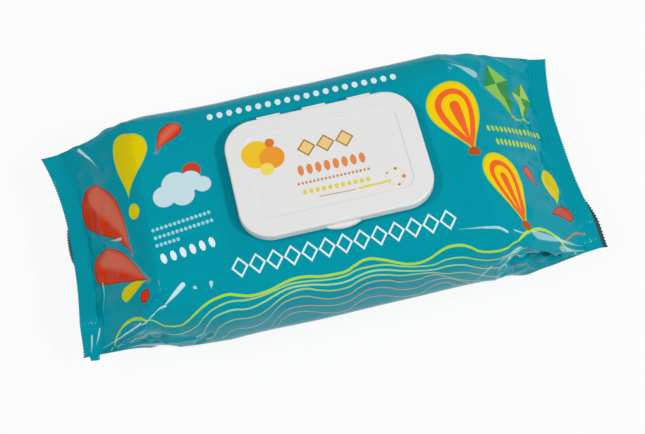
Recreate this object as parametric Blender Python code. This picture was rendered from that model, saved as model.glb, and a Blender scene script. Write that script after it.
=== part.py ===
"""Wet wipes pack: a sealed film pack of wipes with a moulded flip-top closure.

Metres. +X runs along the pack, +Y to the hinge side of the lid, +Z up. The pack rests on Z = 0.
"""

import math

import bmesh
import bpy
import numpy as np

FIT_GAP = 0.0003  # between two pieces that touch

# Film pack
PACK_HEIGHT = 0.060
PACK_HALF_WIDTH = 0.060
SECTION_POWER = 3.6  # 2 is an ellipse, and more is nearer to a rectangle
SECTION_FLAT = 1.067  # over 1 cuts a flat along the top and the bottom
SECTION_POINTS = 72
BLOCK_RINGS = 8
SLOPE_RINGS = 12
SEAL_THICKNESS = 0.0012
SEAL_WIDTH = 0.0095
SEAL_RIBS = 4
SEAL_RIB_HEIGHT = 0.00015
TUCK_SHARE = 0.85  # of the height folds in
PANEL_EDGE = 0.83  # where the top and bottom panels end, as a share of the half width
PLEAT_HEIGHT = 0.0009
PLEAT_LENGTH = 0.019
FIN_EDGES = (-0.0060, 0.0085)  # the two edges of the back seal, in Y
FIN_GROOVE_WIDTH = 0.0008
FIN_GROOVE_DEPTH = 0.0005

# Each end: direction, where the wipes end, the seal's inner edge and height, how far its back and
# front corners stand out, how far its front corner hangs down, how far the back and the front side
# fold in ahead of it, how much slimmer the lower film is at the front, and the share of the slope
# along which the lower film still lies on the ground
LEFT_END = {
    "way": -1,
    "block": 0.086,
    "seal": 0.1198,
    "height": 0.029,
    "ear_back": 0.0083,
    "ear_front": 0.0040,
    "droop": 0.009,
    "tuck_back": 0.014,
    "tuck_front": 0.003,
    "slim": 0.10,
    "on_ground": 0.0,
}
RIGHT_END = {
    "way": 1,
    "block": 0.076,
    "seal": 0.1212,
    "height": 0.022,
    "ear_back": 0.0069,
    "ear_front": 0.0041,
    "droop": 0.007,
    "tuck_back": 0.014,
    "tuck_front": 0.011,
    "slim": 0.08,
    "on_ground": 0.16,
}
# X, and how much narrower than PACK_HALF_WIDTH the pack is there at its back and at its front
NARROWER = np.array((
    (-0.1290, 0.0012, 0.0080),
    (-0.1190, 0.0002, 0.0075),
    (-0.1080, 0.0012, 0.0060),
    (-0.0980, 0.0020, 0.0045),
    (-0.0900, 0.0006, 0.0033),
    (-0.0800, 0.0000, 0.0020),
    (-0.0600, 0.0000, 0.0000),
    (0.0500, 0.0000, 0.0000),
    (0.0700, 0.0004, 0.0000),
    (0.0800, 0.0028, 0.0000),
    (0.0880, 0.0048, 0.0000),
    (0.0960, 0.0052, 0.0000),
    (0.1070, 0.0036, 0.0008),
    (0.1198, 0.0022, 0.0040),
    (0.1300, 0.0043, 0.0050),
))

# Closure
CLOSURE_X = 0.00535
LID_HALF_X = 0.0480
LID_HALF_Y = 0.0323
LID_CORNER = 0.0156
LID_WALL = 0.0012
LID_HEIGHT = 0.0048
LID_FILLET = 0.0011
LID_FILLET_STEPS = 4
LID_PANEL_INSET = 0.0095
LID_PANEL_SLOPE = 0.0010
LID_PANEL_DEPTH = 0.0004
FLANGE_INSET = 0.0010
FLANGE_THICKNESS = 0.0012
OPENING_HALF_X = 0.0328
OPENING_HALF_Y = 0.0168
OPENING_CORNER = 0.0125
RIM_THICKNESS = 0.0012
RIM_HEIGHT = 0.0027
RIB_CLEARANCE = 0.0005
RIB_THICKNESS = 0.0010
RIB_DEPTH = 0.0026
HINGE_TAB_X = (-0.023, 0.0, 0.023)
HINGE_TAB_WIDTH = 0.012
HINGE_TAB_REACH = 0.0014
HINGE_TAB_HEIGHT = 0.0022
LUG_STEP = 0.0001  # a lug is this much thinner than the flange on each face
THUMB_TAB_WIDTH = 0.018
THUMB_TAB_REACH = 0.0023
THUMB_TAB_HEIGHT = 0.0014
CORNER_STEPS = 9

# Peel-off label over the slit in the film
LABEL_HALF_X = 0.0280
LABEL_HALF_Y = 0.0132
LABEL_CORNER = 0.0090
LABEL_THICKNESS = 0.0003
LABEL_TAB_REACH = 0.0035

# Heights that follow from the sizes above
FRAME_LOW = PACK_HEIGHT + FIT_GAP
FLANGE_TOP = FRAME_LOW + FLANGE_THICKNESS
LID_LOW = FLANGE_TOP + FIT_GAP
LID_TOP = LID_LOW + LID_HEIGHT
LID_CEILING = LID_TOP - LID_WALL
HINGE_Y = LID_HALF_Y + HINGE_TAB_REACH
HINGE_Z = (FLANGE_TOP + LID_LOW) / 2

FILM_COLOUR = (0.0, 0.310, 0.400)
CLOSURE_COLOUR = (0.760, 0.765, 0.775)
LABEL_COLOUR = (0.800, 0.820, 0.820)


def material(name, colour, roughness):
    made = bpy.data.materials.new(name)
    made.use_nodes = True
    shader = made.node_tree.nodes["Principled BSDF"]
    shader.inputs["Base Color"].default_value = (*colour, 1.0)
    shader.inputs["Roughness"].default_value = roughness
    shader.inputs["Metallic"].default_value = 0.0
    made.diffuse_color = (*colour, 1.0)
    return made


def collection(name, parent):
    made = bpy.data.collections.new(name)
    parent.children.link(made)
    return made


def add_object(bm, name, home, look=None, location=(0.0, 0.0, 0.0)):
    """Turn the mesh into an object, shaded smooth but for its sharp edges."""
    bmesh.ops.recalc_face_normals(bm, faces=bm.faces)
    if bm.calc_volume(signed=True) < 0:
        bmesh.ops.reverse_faces(bm, faces=bm.faces)
    mesh = bpy.data.meshes.new(name)
    bm.to_mesh(mesh)
    bm.free()
    mesh.shade_smooth()
    mesh.set_sharp_from_angle(angle=math.radians(35))
    made = bpy.data.objects.new(name, mesh)
    made.location = location
    home.objects.link(made)
    if look:
        mesh.materials.append(look)
    return made


def join(target, other):
    other.display_type = "WIRE"
    other.hide_render = True
    union = target.modifiers.new("join " + other.name, "BOOLEAN")
    union.operation = "UNION"
    union.solver = "EXACT"
    union.object = other


def rounded_outline(half_x, half_y, corner):
    """A rounded rectangle about the origin, anticlockwise."""
    points = []
    for quarter, (way_x, way_y) in enumerate(((1, 1), (-1, 1), (-1, -1), (1, -1))):
        for step in range(CORNER_STEPS + 1):
            angle = math.pi / 2 * (quarter + step / CORNER_STEPS)
            x = way_x * (half_x - corner) + corner * math.cos(angle)
            y = way_y * (half_y - corner) + corner * math.sin(angle)
            points.append((x, y))
    return points


def inset_outline(half_x, half_y, corner, inset):
    return rounded_outline(half_x - inset, half_y - inset, corner - inset)


def joined_rings(bm, rings, closed):
    """Faces between each ring of points and the next."""
    pairs = list(zip(rings, rings[1:]))
    if closed:
        pairs.append((rings[-1], rings[0]))
    for ring, following in pairs:
        for now in range(len(ring)):
            before = now - 1
            bm.faces.new((ring[before], ring[now], following[now], following[before]))


def stacked(loops, capped):
    """A body from rounded outlines, each joined to the next. The last joins the first unless capped."""
    bm = bmesh.new()
    rings = []
    for outline, height in loops:
        rings.append([bm.verts.new((x, y, height)) for x, y in outline])
    joined_rings(bm, rings, closed=not capped)
    if capped:
        bm.faces.new(rings[0])
        bm.faces.new(rings[-1])
    return bm


def plate(outline, low, high):
    bm = bmesh.new()
    corners = [bm.verts.new((x, y, low)) for x, y in outline]
    made = bmesh.ops.extrude_face_region(bm, geom=[bm.faces.new(corners)])["geom"]
    moved = [item for item in made if isinstance(item, bmesh.types.BMVert)]
    bmesh.ops.translate(bm, verts=moved, vec=(0.0, 0.0, high - low))
    return bm


def box_outline(low_x, high_x, low_y, high_y):
    return [(low_x, low_y), (high_x, low_y), (high_x, high_y), (low_x, high_y)]


# Film pack: a loft of closed rings along X. Every ring is the same unit section, scaled.


def unit_section():
    """Points round the film from -1 to 1 in Y and Z, and which of them lie in a groove of the back seal."""
    turn = np.linspace(0.0, math.pi, 4001)
    power = 2 / SECTION_POWER
    across = np.sign(np.cos(turn)) * np.abs(np.cos(turn)) ** power
    up = np.minimum(SECTION_FLAT * np.sin(turn).clip(0.0) ** power, 1.0)
    steps = np.hypot(np.diff(across) * PACK_HALF_WIDTH, np.diff(up) * PACK_HEIGHT / 2)
    along = np.concatenate([[0.0], np.cumsum(steps)])
    # The back seal has two grooves, of three points each, and no other point lies near them.
    groove_points = []
    for edge in FIN_EDGES:
        for shift in (-FIN_GROOVE_WIDTH / 2, 0.0, FIN_GROOVE_WIDTH / 2):
            place = -(edge + shift) / PACK_HALF_WIDTH
            groove_points.append(np.interp(place, -across, along))
    groove_points = np.array(groove_points)
    even = np.linspace(0.0, along[-1], SECTION_POINTS // 2 + 1)
    nearest = np.abs(even[:, None] - groove_points).min(axis=1)
    wanted = np.sort(np.concatenate([even[nearest > FIN_GROOVE_WIDTH], groove_points]))
    in_groove = np.isin(wanted, groove_points[1::3])
    y = np.interp(wanted, along, across)
    z = np.interp(wanted, along, up)
    # The lower half mirrors the upper one and closes the ring.
    y = np.concatenate([y, y[-2:0:-1]])
    z = np.concatenate([z, -z[-2:0:-1]])
    in_groove = np.concatenate([np.zeros_like(in_groove), in_groove[-2:0:-1]])
    return y, z, in_groove


def smooth_step(value):
    value = np.clip(value, 0.0, 1.0)
    return value * value * (3 - 2 * value)


def film_ring(section, end, reach, into_seal=0.0, rib=0.0):
    """One ring. reach is 0 where the wipes end, below 0 along them, and 1 where the seal begins."""
    unit_y, unit_z, in_groove = section
    inside = min(max(reach, 0.0), 1.0)
    mix = smooth_step(inside)
    at_back = unit_y > 0
    base_x = end["way"] * (end["block"] + reach * (end["seal"] - end["block"]) + into_seal)
    back = PACK_HALF_WIDTH - np.interp(base_x, NARROWER[:, 0], NARROWER[:, 1])
    front = PACK_HALF_WIDTH - np.interp(base_x, NARROWER[:, 0], NARROWER[:, 2])
    half_seal = SEAL_THICKNESS / 2
    rising = max(0.0, (inside - end["on_ground"]) / (1 - end["on_ground"]))
    high = PACK_HEIGHT + inside**1.3 * (end["height"] + half_seal - PACK_HEIGHT)
    low = rising**1.5 * (end["height"] - half_seal)
    z = (high + low) / 2 + ((high - low) / 2 + rib) * unit_z
    # The panels keep their width to the seal, and the sides fold in between them.
    panel_y = np.clip(unit_y / PANEL_EDGE, -1.0, 1.0)
    across = unit_y + smooth_step(inside / 0.45) * (panel_y - unit_y)
    tuck = np.where(at_back, end["tuck_back"], end["tuck_front"]) * math.sin(math.pi * inside)
    fold = np.clip(1 - np.abs(unit_z) / TUCK_SHARE, 0.0, 1.0) ** 1.2
    y = np.where(at_back, back, front) * across - np.sign(unit_y) * tuck * fold
    slim = end["slim"] * math.sin(math.pi * inside) * smooth_step(-unit_z) * smooth_step(-2 * unit_y)
    y = y * (1 - slim)
    # Pleats run from the seal into the slope.
    pleat = PLEAT_HEIGHT * math.sin(math.pi * inside**1.6)
    z = np.maximum(z + pleat * np.sin(2 * math.pi * y / PLEAT_LENGTH) * np.abs(unit_z) ** 4, 0.0)
    z = z + in_groove * FIN_GROOVE_DEPTH * (1 - 0.7 * mix)
    # The front corner of the seal hangs down, and both corners stand out.
    z = z - end["droop"] * mix * smooth_step((-across - 0.70) / 0.30)
    ear = np.where(at_back, end["ear_back"], end["ear_front"])
    x = base_x + end["way"] * inside**2 * ear * np.abs(across) ** 2.4
    return np.column_stack([x, y, z])


def end_rings(section, end):
    """The rings of one end, from the wipes out to the cut edge."""
    rings = []
    for step in range(SLOPE_RINGS + 1):
        rings.append(film_ring(section, end, step / SLOPE_RINGS))
    for step in range(1, 2 * SEAL_RIBS + 1):
        into_seal = SEAL_WIDTH * step / (2 * SEAL_RIBS)
        rib = SEAL_RIB_HEIGHT if step % 2 else 0.0
        rings.append(film_ring(section, end, 1.0, into_seal, rib))
    return rings


def film_pack():
    section = unit_section()
    left = end_rings(section, LEFT_END)
    right = end_rings(section, RIGHT_END)
    block = []
    slope = RIGHT_END["seal"] - RIGHT_END["block"]
    for step in range(1, BLOCK_RINGS):
        x = -LEFT_END["block"] + (LEFT_END["block"] + RIGHT_END["block"]) * step / BLOCK_RINGS
        block.append(film_ring(section, RIGHT_END, (x - RIGHT_END["block"]) / slope))
    bm = bmesh.new()
    rings = []
    for ring in left[::-1] + block + right:
        rings.append([bm.verts.new(point) for point in ring])
    joined_rings(bm, rings, closed=False)
    count = len(rings[0])
    # Each cut edge is closed by faces between the upper and the lower film.
    for ring in (rings[0], rings[-1]):
        for upper in range(count // 2):
            corners = [ring[upper], ring[upper + 1], ring[-upper - 1], ring[-upper]]
            if upper == 0:
                corners.pop()
            elif upper == count // 2 - 1:
                corners.pop(2)
            bm.faces.new(corners)
    return bm


# Closure: the frame and the lid are built about the origin, and moved to their place on the pack.


def frame_shape():
    """A flange with a raised rim round the dispensing opening."""
    flange = inset_outline(LID_HALF_X, LID_HALF_Y, LID_CORNER, FLANGE_INSET)
    opening = rounded_outline(OPENING_HALF_X, OPENING_HALF_Y, OPENING_CORNER)
    rim = inset_outline(OPENING_HALF_X, OPENING_HALF_Y, OPENING_CORNER, -RIM_THICKNESS)
    loops = [
        (flange, FRAME_LOW),
        (flange, FLANGE_TOP),
        (rim, FLANGE_TOP),
        (rim, FLANGE_TOP + RIM_HEIGHT),
        (opening, FLANGE_TOP + RIM_HEIGHT),
        (opening, FRAME_LOW),
    ]
    return stacked(loops, capped=False)


def lid_shape():
    """A shallow cap with a sunk panel on top and a rib inside that closes round the frame's rim."""
    lid = (LID_HALF_X, LID_HALF_Y, LID_CORNER)
    opening = (OPENING_HALF_X, OPENING_HALF_Y, OPENING_CORNER)
    rib_inner = inset_outline(*opening, -RIM_THICKNESS - RIB_CLEARANCE)
    rib_outer = inset_outline(*opening, -RIM_THICKNESS - RIB_CLEARANCE - RIB_THICKNESS)
    panel_inset = LID_PANEL_INSET + LID_PANEL_SLOPE
    loops = [
        (inset_outline(*lid, panel_inset), LID_TOP - LID_PANEL_DEPTH),
        (inset_outline(*lid, LID_PANEL_INSET), LID_TOP),
    ]
    for step in range(LID_FILLET_STEPS + 1):
        angle = math.pi / 2 * step / LID_FILLET_STEPS
        inset = LID_FILLET * (1 - math.sin(angle))
        height = LID_TOP - LID_FILLET * (1 - math.cos(angle))
        loops.append((inset_outline(*lid, inset), height))
    loops += [
        (rounded_outline(*lid), LID_LOW),
        (inset_outline(*lid, LID_WALL), LID_LOW),
        (inset_outline(*lid, LID_WALL), LID_CEILING),
        (rib_outer, LID_CEILING),
        (rib_outer, LID_CEILING - RIB_DEPTH),
        (rib_inner, LID_CEILING - RIB_DEPTH),
        (rib_inner, LID_CEILING),
    ]
    return stacked(loops, capped=True)


def thumb_tab_outline():
    """A smooth bump at the middle of the lid's front edge."""
    points = [(THUMB_TAB_WIDTH / 2, 0.0), (-THUMB_TAB_WIDTH / 2, 0.0)]
    steps = 20
    for step in range(steps + 1):
        share = step / steps
        reach = THUMB_TAB_REACH * math.sin(math.pi * share) ** 1.5
        x = THUMB_TAB_WIDTH * (share - 0.5)
        points.append((x, -LID_WALL / 2 - reach))
    return [(x, y - LID_HALF_Y + LID_WALL / 2) for x, y in points]


def label_outline():
    """A rounded label with a pull tab at its right end."""
    outline = rounded_outline(LABEL_HALF_X, LABEL_HALF_Y, LABEL_CORNER)
    half_width = LABEL_HALF_Y - LABEL_CORNER
    steps = 8
    for step in range(1, steps):
        angle = math.pi * (step / steps - 0.5)
        reach = LABEL_TAB_REACH * math.cos(angle)
        outline.append((LABEL_HALF_X + reach, half_width * math.sin(angle)))
    return outline


def build():
    for old in list(bpy.data.objects):
        bpy.data.objects.remove(old)
    scene = bpy.context.scene.collection
    home = collection("wet_wipes_pack", scene)
    tools = collection("joined_shapes", scene)
    film = material("turquoise_glossy_film", FILM_COLOUR, 0.22)
    plastic = material("white_polypropylene", CLOSURE_COLOUR, 0.38)
    paper = material("white_label_film", LABEL_COLOUR, 0.30)
    place = (CLOSURE_X, 0.0, 0.0)

    add_object(film_pack(), "film_pack", home, film)
    label = plate(label_outline(), FRAME_LOW, FRAME_LOW + LABEL_THICKNESS)
    add_object(label, "seal_label", home, paper, place)
    frame = add_object(frame_shape(), "lid_frame", home, plastic, place)

    # The lid's origin lies on the hinge line.
    hinge = (CLOSURE_X, HINGE_Y, HINGE_Z)
    shape = lid_shape()
    bmesh.ops.translate(shape, verts=shape.verts, vec=(0.0, -HINGE_Y, -HINGE_Z))
    lid = add_object(shape, "flip_lid", home, plastic, hinge)

    thumb = plate(thumb_tab_outline(), LID_LOW, LID_LOW + THUMB_TAB_HEIGHT)
    join(lid, add_object(thumb, "thumb_tab_shape", tools, plastic, place))
    for number, middle in enumerate(HINGE_TAB_X, 1):
        low_x = middle - HINGE_TAB_WIDTH / 2
        high_x = middle + HINGE_TAB_WIDTH / 2
        outline = box_outline(low_x, high_x, LID_HALF_Y - LID_WALL / 2, HINGE_Y)
        tab = plate(outline, LID_LOW, LID_LOW + HINGE_TAB_HEIGHT)
        join(lid, add_object(tab, f"lid_tab_shape_{number}", tools, plastic, place))
        outline = box_outline(low_x, high_x, LID_HALF_Y - 3 * FLANGE_INSET, HINGE_Y)
        lug = plate(outline, FRAME_LOW + LUG_STEP, FLANGE_TOP - LUG_STEP)
        join(frame, add_object(lug, f"frame_lug_shape_{number}", tools, plastic, place))


build()
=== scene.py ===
import math

import bmesh
import bpy
import numpy as np
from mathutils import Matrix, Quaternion, Vector


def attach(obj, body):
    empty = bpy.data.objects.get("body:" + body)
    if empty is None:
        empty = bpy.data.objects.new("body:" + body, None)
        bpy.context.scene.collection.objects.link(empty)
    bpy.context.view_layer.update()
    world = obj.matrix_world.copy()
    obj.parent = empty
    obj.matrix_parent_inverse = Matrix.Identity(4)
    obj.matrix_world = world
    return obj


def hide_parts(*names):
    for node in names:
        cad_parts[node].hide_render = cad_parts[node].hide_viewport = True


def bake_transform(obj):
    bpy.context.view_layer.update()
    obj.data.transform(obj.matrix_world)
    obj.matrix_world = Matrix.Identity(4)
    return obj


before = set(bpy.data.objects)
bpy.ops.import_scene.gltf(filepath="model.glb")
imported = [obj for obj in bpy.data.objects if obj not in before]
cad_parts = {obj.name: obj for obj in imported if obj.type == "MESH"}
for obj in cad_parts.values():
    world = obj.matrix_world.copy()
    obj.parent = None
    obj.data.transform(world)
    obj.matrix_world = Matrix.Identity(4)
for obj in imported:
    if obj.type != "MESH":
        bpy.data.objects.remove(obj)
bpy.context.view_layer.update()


# Camera, floor and studio light
# The photograph looks down on the pack from its front, turned a little, from about 0.6 m.
# The floor is plain and pale, and three soft boxes and a grey sky light the pack at a plain level.

CAMERA_TURN = math.radians(-7.85)
CAMERA_RISE = math.radians(64.17)
CAMERA_ROLL = math.radians(-5.755)
CAMERA_DISTANCE = 0.6210
CAMERA_TARGET = Vector((-0.00389, -0.02708, 0.0640))
CAMERA_LENS_MM = 72.56
SENSOR_MM = 36.0

camera_data = bpy.data.cameras.new("camera")
camera_data.lens = CAMERA_LENS_MM
camera_data.sensor_width = SENSOR_MM
camera_data.clip_start = 0.01
camera = bpy.data.objects.new("camera", camera_data)
toward_camera = Vector((
    math.sin(CAMERA_TURN) * math.cos(CAMERA_RISE),
    -math.cos(CAMERA_TURN) * math.cos(CAMERA_RISE),
    math.sin(CAMERA_RISE),
))
camera.rotation_mode = "QUATERNION"
camera.rotation_quaternion = toward_camera.to_track_quat("Z", "Y") @ Quaternion((0, 0, 1), CAMERA_ROLL)
camera.location = CAMERA_TARGET + toward_camera * CAMERA_DISTANCE
bpy.context.collection.objects.link(camera)
bpy.context.scene.camera = camera
bpy.context.scene.view_settings.view_transform = "Standard"


def linear(code):
    """An sRGB hex colour as linear red, green, blue and an alpha of 1."""
    channels = [int(code[start:start + 2], 16) / 255 for start in (1, 3, 5)]
    turned = [c / 12.92 if c <= 0.04045 else ((c + 0.055) / 1.055) ** 2.4 for c in channels]
    return (*turned, 1.0)


def add_node(tree, kind, inputs=None, **settings):
    """A new shader node. Each input is a value, another node's first output, or an output socket."""
    made = tree.nodes.new("ShaderNode" + kind)
    for name, value in settings.items():
        setattr(made, name, value)
    for name, value in (inputs or {}).items():
        if isinstance(value, bpy.types.Node):
            tree.links.new(value.outputs[0], made.inputs[name])
        elif isinstance(value, bpy.types.NodeSocket):
            tree.links.new(value, made.inputs[name])
        else:
            made.inputs[name].default_value = value
    return made


def empty_tree(owner):
    """The cleared node tree of a material or world."""
    owner.use_nodes = True
    owner.node_tree.nodes.clear()
    return owner.node_tree


def seen_directly(tree):
    """1 for what the camera sees straight or in gloss or glass, 0 for light that falls on the object."""
    rays = add_node(tree, "LightPath").outputs
    inputs = {0: rays["Is Camera Ray"], 1: rays["Is Glossy Ray"]}
    straight = add_node(tree, "Math", inputs, operation="MAXIMUM")
    return add_node(tree, "Math", {0: straight, 1: rays["Is Transmission Ray"]}, operation="MAXIMUM")


SKY_STRENGTH = 0.38
world = bpy.data.worlds.new("studio")
bpy.context.scene.world = world
tree = empty_tree(world)
sky = add_node(tree, "Background", {"Color": linear("#F4F7FA"), "Strength": SKY_STRENGTH})
add_node(tree, "OutputWorld", {"Surface": sky})

FLOOR_HALF = 3.0
bm = bmesh.new()
bmesh.ops.create_grid(bm, x_segments=1, y_segments=1, size=FLOOR_HALF)
floor_mesh = bpy.data.meshes.new("floor")
bm.to_mesh(floor_mesh)
bm.free()
floor = bpy.data.objects.new("floor", floor_mesh)
bpy.context.collection.objects.link(floor)
# Matt backdrop paper: it takes the pack's soft shadow, and the camera and the gloss see it nearly white
SEEN_WHITE = 0.9
floor_look = bpy.data.materials.new("matt_white_backdrop_paper")
tree = empty_tree(floor_look)
paper = add_node(tree, "BsdfDiffuse", {"Color": linear("#E8E8E8")})
white = add_node(tree, "Emission", {"Color": linear("#FFFFFF"), "Strength": 1.0})
part_white = add_node(tree, "Math", {0: seen_directly(tree), 1: SEEN_WHITE}, operation="MULTIPLY")
backdrop = add_node(tree, "MixShader", {0: part_white, 1: paper, 2: white})
add_node(tree, "OutputMaterial", {"Surface": backdrop})
floor_mesh.materials.append(floor_look)

# Each soft box: place, length in metres, watts
SOFT_BOX_SHAPE = 0.6
SOFT_BOXES = (
    ((-0.85, -0.05, 1.15), 0.24, 5.2),
    ((0.85, -0.70, 1.15), 0.26, 11.5),
    ((0.80, 0.95, 0.70), 0.18, 2.0),
)
for number, (place, size, watts) in enumerate(SOFT_BOXES, 1):
    lamp_data = bpy.data.lights.new(f"soft_box_{number}", "AREA")
    lamp_data.shape = "RECTANGLE"
    lamp_data.size = size
    lamp_data.size_y = size * SOFT_BOX_SHAPE
    lamp_data.energy = watts
    lamp = bpy.data.objects.new(f"soft_box_{number}", lamp_data)
    lamp.location = place
    lamp.rotation_mode = "QUATERNION"
    lamp.rotation_quaternion = Vector(place).to_track_quat("Z", "Y")
    bpy.context.collection.objects.link(lamp)


# Film bag
# A flow-wrapped bag of printed laminate, glossy and 0.06 mm thick, pulled tight round the stack of wipes.
# Its ends slope to the end seals, its sides fold in ahead of them, and it creased as the pack was filled.

HALF_WIDTH = 0.060
TOP = 0.060
# The section is a rounded box, flattened above and below
SECTION_POWER = 3.6
SECTION_FLAT = 1.067
# How the section turns into the flat seal: shares of its height and half width, and powers
TUCK_SHARE = 0.85
TUCK_SHARPNESS = 1.2
PANEL_EDGE = 0.83
TOP_FALL = 1.3
BOTTOM_RISE = 1.5
PANEL_BY = 0.45
EAR_GROWTH = 2.4
DROOP_FROM = 0.70
SEAL_THICKNESS = 0.0006
SEAL_WIDTH = 0.0095
# Each end: its way along X, where the wipes end and where the seal starts, the seal's height, the droop of
# its front corner, how far the film stays on the floor, how far the seal's corners stand out, how deep the
# sides tuck in, and how much the front narrows below
LEFT = {"way": -1, "block": 0.086, "seal": 0.1198, "height": 0.029, "droop": 0.009, "floor_until": 0.0,
        "ear_back": 0.0083, "ear_front": 0.0040, "tuck_back": 0.014, "tuck_front": 0.003, "slim": 0.10}
RIGHT = {"way": 1, "block": 0.076, "seal": 0.1212, "height": 0.022, "droop": 0.007, "floor_until": 0.16,
         "ear_back": 0.0069, "ear_front": 0.0041, "tuck_back": 0.014, "tuck_front": 0.011, "slim": 0.08}
# Half widths along the pack: X, towards the back, towards the front
WIDTHS = np.array((
    (-0.1290, 0.0588, 0.0520),
    (-0.1190, 0.0590, 0.0525),
    (-0.1080, 0.0564, 0.0540),
    (-0.1025, 0.0562, 0.0547),
    (-0.0980, 0.0582, 0.0555),
    (-0.0900, 0.0612, 0.0567),
    (-0.0800, 0.0618, 0.0580),
    (-0.0600, 0.0606, 0.0600),
    (-0.0400, 0.0600, 0.0600),
    (0.0500, 0.0600, 0.0600),
    (0.0700, 0.0604, 0.0606),
    (0.0800, 0.0600, 0.0618),
    (0.0880, 0.0570, 0.0618),
    (0.0960, 0.0540, 0.0606),
    (0.1070, 0.0558, 0.0592),
    (0.1198, 0.0578, 0.0560),
    (0.1300, 0.0557, 0.0550),
))
# The closure keeps the film flat below it: centre X, half length and half width
CLOSURE_X = 0.00535
FLAT_HALF_X = 0.050
FLAT_HALF_Y = 0.0345


def smooth_step(value):
    """0 below 0, 1 above 1 and a smooth rise between them."""
    value = np.clip(value, 0.0, 1.0)
    return value * value * (3 - 2 * value)


# Once round the film from the middle of its underside: unit Y and Z, and the way from the top's middle
# line, which is negative towards the front
ROUND_STEPS = 8001
turn = np.linspace(-math.pi, math.pi, ROUND_STEPS)
round_y = np.sign(np.sin(turn)) * np.abs(np.sin(turn)) ** (2 / SECTION_POWER)
round_z = np.sign(np.cos(turn)) * np.abs(np.cos(turn)) ** (2 / SECTION_POWER)
round_z = np.clip(SECTION_FLAT * round_z, -1.0, 1.0)
round_steps = np.hypot(np.diff(round_y) * HALF_WIDTH, np.diff(round_z) * TOP / 2)
round_way = np.concatenate([[0.0], np.cumsum(round_steps)])
round_way -= round_way[-1] / 2
half_round = round_way[-1]


def film_point(end, reach, into_seal, around, thickness=SEAL_THICKNESS):
    """Places on the film. Reach is 0 where the wipes end and 1 at the seal, around is the way round."""
    unit_y = np.interp(around, round_way, round_y)
    unit_z = np.interp(around, round_way, round_z)
    inside = np.clip(reach, 0.0, 1.0)
    mix = smooth_step(inside)
    base_x = end["way"] * (end["block"] + reach * (end["seal"] - end["block"]) + into_seal)
    back = np.interp(base_x, WIDTHS[:, 0], WIDTHS[:, 1])
    front = np.interp(base_x, WIDTHS[:, 0], WIDTHS[:, 2])
    high = TOP + inside**TOP_FALL * (end["height"] + thickness / 2 - TOP)
    rising = np.clip((inside - end["floor_until"]) / (1 - end["floor_until"]), 0.0, 1.0)
    low = rising**BOTTOM_RISE * (end["height"] - thickness / 2)
    z = (high + low) / 2 + (high - low) / 2 * unit_z
    panel_y = np.clip(unit_y / PANEL_EDGE, -1.0, 1.0)
    across = unit_y + smooth_step(inside / PANEL_BY) * (panel_y - unit_y)
    tuck = np.where(unit_y > 0, end["tuck_back"], end["tuck_front"]) * np.sin(math.pi * inside)
    fold = np.clip(1 - np.abs(unit_z) / TUCK_SHARE, 0.0, 1.0) ** TUCK_SHARPNESS
    y = np.where(unit_y > 0, back, front) * across - np.sign(unit_y) * tuck * fold
    slim = end["slim"] * np.sin(math.pi * inside) * smooth_step(-unit_z) * smooth_step(-unit_y * 2)
    y = y * (1 - slim)
    z = z - end["droop"] * mix * smooth_step((-across - DROOP_FROM) / (1 - DROOP_FROM))
    ear = np.where(unit_y > 0, end["ear_back"], end["ear_front"])
    x = base_x + end["way"] * inside**2 * ear * np.abs(across) ** EAR_GROWTH
    return np.stack(np.broadcast_arrays(x, y, z), axis=-1)


def outward(places):
    """Unit normals of a grid of places, pointing out of the film."""
    across = np.cross(np.gradient(places, axis=0), np.gradient(places, axis=1))
    return across / np.maximum(np.linalg.norm(across, axis=-1, keepdims=True), 1e-12)


def spaced(stops):
    """Values from one stop to the next, with the given number of steps in each stretch."""
    values = [stops[0][0]]
    for (low, _), (high, steps) in zip(stops, stops[1:]):
        values.extend(np.linspace(low, high, steps + 1)[1:])
    return np.array(values)


def grid_piece(name, places, along, around, weld=0.0):
    """A grid moved to its places. Its UV map is the flat film in millimetres."""
    columns, rows = len(along) - 1, len(around) - 1
    bm = bmesh.new()
    bm.loops.layers.uv.new("flat_film")
    bmesh.ops.create_grid(bm, x_segments=columns, y_segments=rows, size=1.0, calc_uvs=True)
    mesh = bpy.data.meshes.new(name)
    bm.to_mesh(mesh)
    bm.free()
    flat = np.empty(len(mesh.vertices) * 3)
    mesh.vertices.foreach_get("co", flat)
    flat = flat.reshape(-1, 3)
    column = np.rint((flat[:, 0] + 1) / 2 * columns).astype(int)
    row = np.rint((flat[:, 1] + 1) / 2 * rows).astype(int)
    mesh.vertices.foreach_set("co", places[column, row].ravel())
    uvs = np.empty(len(mesh.loops) * 2)
    mesh.uv_layers["flat_film"].data.foreach_get("uv", uvs)
    uvs = uvs.reshape(-1, 2)
    uvs[:, 0] = np.interp(uvs[:, 0], np.linspace(0, 1, len(along)), along * 1000)
    uvs[:, 1] = np.interp(uvs[:, 1], np.linspace(0, 1, len(around)), around * 1000)
    mesh.uv_layers["flat_film"].data.foreach_set("uv", uvs.ravel())
    if weld:
        bm = bmesh.new()
        bm.from_mesh(mesh)
        bmesh.ops.remove_doubles(bm, verts=bm.verts, dist=weld)
        bm.to_mesh(mesh)
        bm.free()
    mesh.shade_smooth()
    made = bpy.data.objects.new(name, mesh)
    bpy.context.collection.objects.link(made)
    return made


LEFT_STEPS = 62
BLOCK_STEPS = 176
RIGHT_STEPS = 74
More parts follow.
